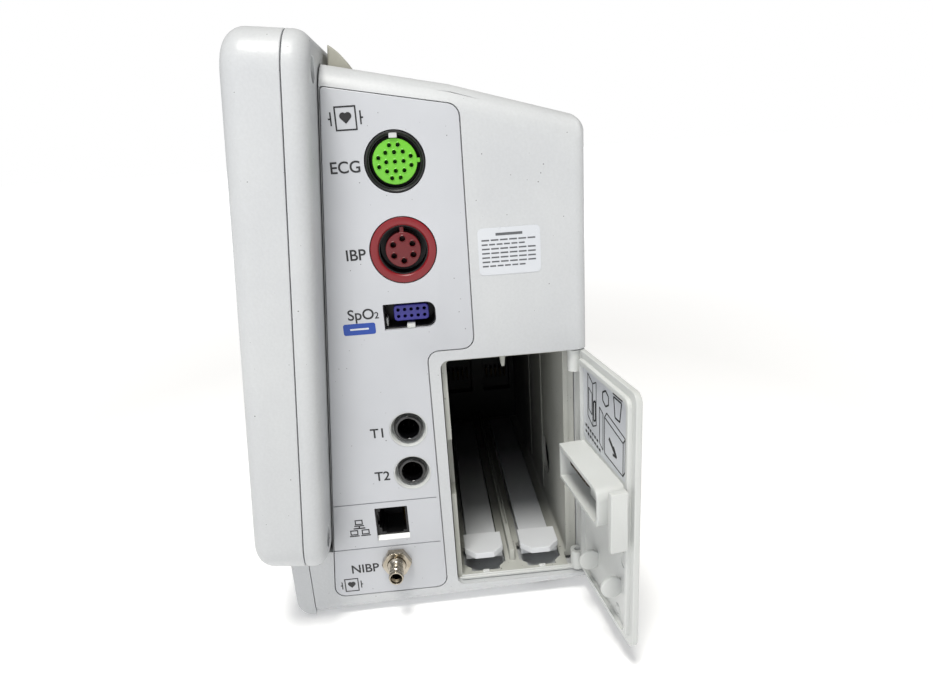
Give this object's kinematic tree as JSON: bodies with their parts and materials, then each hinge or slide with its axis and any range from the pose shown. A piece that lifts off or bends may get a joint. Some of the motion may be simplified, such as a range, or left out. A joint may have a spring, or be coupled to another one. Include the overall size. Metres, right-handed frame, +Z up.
{
  "type": "patient monitor",
  "caption": "Bedside patient monitor: tilted display on a deep chassis, side panel of patient sockets, side battery bay with a hinged, latched door, carry grip and rear mains inlet.",
  "frame": {"origin": "middle of the bounding box at the surface the feet stand on, battery door open", "axes": "+Z up; the screen faces -Y; the connector panel and battery door are on the +X side"},
  "size_m": [0.2668, 0.146, 0.2113],
  "materials": {
    "housing_abs": "fine spark-eroded texture",
    "black_nylon": "satin",
    "green_nylon": "satin",
    "red_nylon": "satin",
    "violet_nylon": "satin",
    "grey_rubber": "matte",
    "key_rubber": "matte",
    "screen_glass": "gloss",
    "lamp_lens": "gloss",
    "nickel": "dull plate",
    "steel": "plain",
    "spring_steel": "blued",
    "circuit_board": "solder mask",
    "hose_silicone": "satin"
  },
  "bodies": {
    "chassis": {"rear_housing": "housing_abs", "lower_front_cover": "housing_abs", "front_bezel": "housing_abs", "display_rear_cover": "housing_abs", "carry_handle": "housing_abs", "connector_panel": "housing_abs", "battery_bay": "housing_abs", "ecg_socket": "black_nylon", "spo2_socket": "black_nylon", "temp_jack_1": "black_nylon", "temp_jack_2": "black_nylon", "network_jack": "black_nylon", "battery_contact_block": "black_nylon", "power_inlet": "black_nylon", "speaker": "black_nylon", "nibp_valve_block": "black_nylon", "rotary_encoder": "black_nylon", "ecg_insert": "green_nylon", "ibp_socket": "red_nylon", "ibp_insert": "red_nylon", "spo2_insert": "violet_nylon", "foot_front_left": "grey_rubber", "foot_front_right": "grey_rubber", "foot_rear_left": "grey_rubber", "foot_rear_right": "grey_rubber", "display_window": "screen_glass", "alarm_lamp_lens": "lamp_lens", "nibp_nut": "nickel", "nibp_nipple": "nickel", "battery_terminal_1": "nickel", "battery_terminal_2": "nickel", "ground_stud": "nickel", "display_screw_1": "steel", "display_screw_2": "steel", "display_screw_3": "steel", "display_screw_4": "steel", "lcd_module": "steel", "lcd_bracket": "steel", "hinge_pin_bottom": "steel", "hinge_pin_top": "steel", "power_supply": "steel", "nibp_pump": "steel", "key_board": "circuit_board", "main_board": "circuit_board", "parameter_board": "circuit_board", "nibp_hose": "hose_silicone"},
    "battery_door": {"battery_door": "housing_abs", "latch_spring": "spring_steel"},
    "door_latch": {"door_latch": "housing_abs"},
    "battery_catch_1": {"battery_catch_1": "housing_abs"},
    "battery_catch_2": {"battery_catch_2": "housing_abs"},
    "knob_plunger": {"encoder_plunger": "black_nylon"},
    "navigation_knob": {"navigation_knob": "key_rubber", "encoder_shaft": "steel"},
    "alarm_silence_key": {"alarm_silence_key": "key_rubber"},
    "alarm_pause_key": {"alarm_pause_key": "key_rubber"},
    "nibp_start_key": {"nibp_start_key": "key_rubber"},
    "freeze_key": {"freeze_key": "key_rubber"},
    "menu_key": {"menu_key": "key_rubber"},
    "power_key": {"power_key": "key_rubber"}
  },
  "joints": [
    {"name": "door_hinge", "type": "hinge", "parent": "chassis", "child": "battery_door", "pos_m": [0.08545, 0.05995, 0.0559], "axis": [0, 0, 1], "range_deg": [-97.4, 8]},
    {"name": "latch_slide", "type": "slide", "parent": "battery_door", "child": "door_latch", "axis": [-0.9917, -0.1288, 0], "range_m": [0, 0.003], "stiffness_N_per_m": 300, "deforming": ["latch_spring"]},
    {"name": "catch_1_flex", "type": "hinge", "parent": "chassis", "child": "battery_catch_1", "pos_m": [-0.05405, 0.02312, 0.0134], "axis": [0, 1, 0], "range_deg": [0, 2.1], "stiffness_Nm_per_rad": 5},
    {"name": "catch_2_flex", "type": "hinge", "parent": "chassis", "child": "battery_catch_2", "pos_m": [-0.05405, 0.04574, 0.0134], "axis": [0, 1, 0], "range_deg": [0, 2.1], "stiffness_Nm_per_rad": 5},
    {"name": "alarm_silence_key_press", "type": "slide", "parent": "chassis", "child": "alarm_silence_key", "axis": [0, 0.9951, -0.0993], "range_m": [0, 0.0008], "stiffness_N_per_m": 500},
    {"name": "alarm_pause_key_press", "type": "slide", "parent": "chassis", "child": "alarm_pause_key", "axis": [0, 0.9951, -0.0993], "range_m": [0, 0.0008], "stiffness_N_per_m": 500},
    {"name": "nibp_start_key_press", "type": "slide", "parent": "chassis", "child": "nibp_start_key", "axis": [0, 0.9951, -0.0993], "range_m": [0, 0.0008], "stiffness_N_per_m": 500},
    {"name": "freeze_key_press", "type": "slide", "parent": "chassis", "child": "freeze_key", "axis": [0, 0.9951, -0.0993], "range_m": [0, 0.0008], "stiffness_N_per_m": 500},
    {"name": "menu_key_press", "type": "slide", "parent": "chassis", "child": "menu_key", "axis": [0, 0.9951, -0.0993], "range_m": [0, 0.0008], "stiffness_N_per_m": 500},
    {"name": "power_key_press", "type": "slide", "parent": "chassis", "child": "power_key", "axis": [0, 0.9951, -0.0993], "range_m": [0, 0.0008], "stiffness_N_per_m": 500},
    {"name": "knob_press", "type": "slide", "parent": "chassis", "child": "knob_plunger", "axis": [0, 0.9951, -0.0993], "range_m": [0, 0.0005], "stiffness_N_per_m": 800},
    {"name": "knob_turn", "type": "hinge", "parent": "knob_plunger", "child": "navigation_knob", "pos_m": [-0.11005, -0.05743, 0.0667], "axis": [0, 0.9951, -0.0993], "continuous": true}
  ]
}
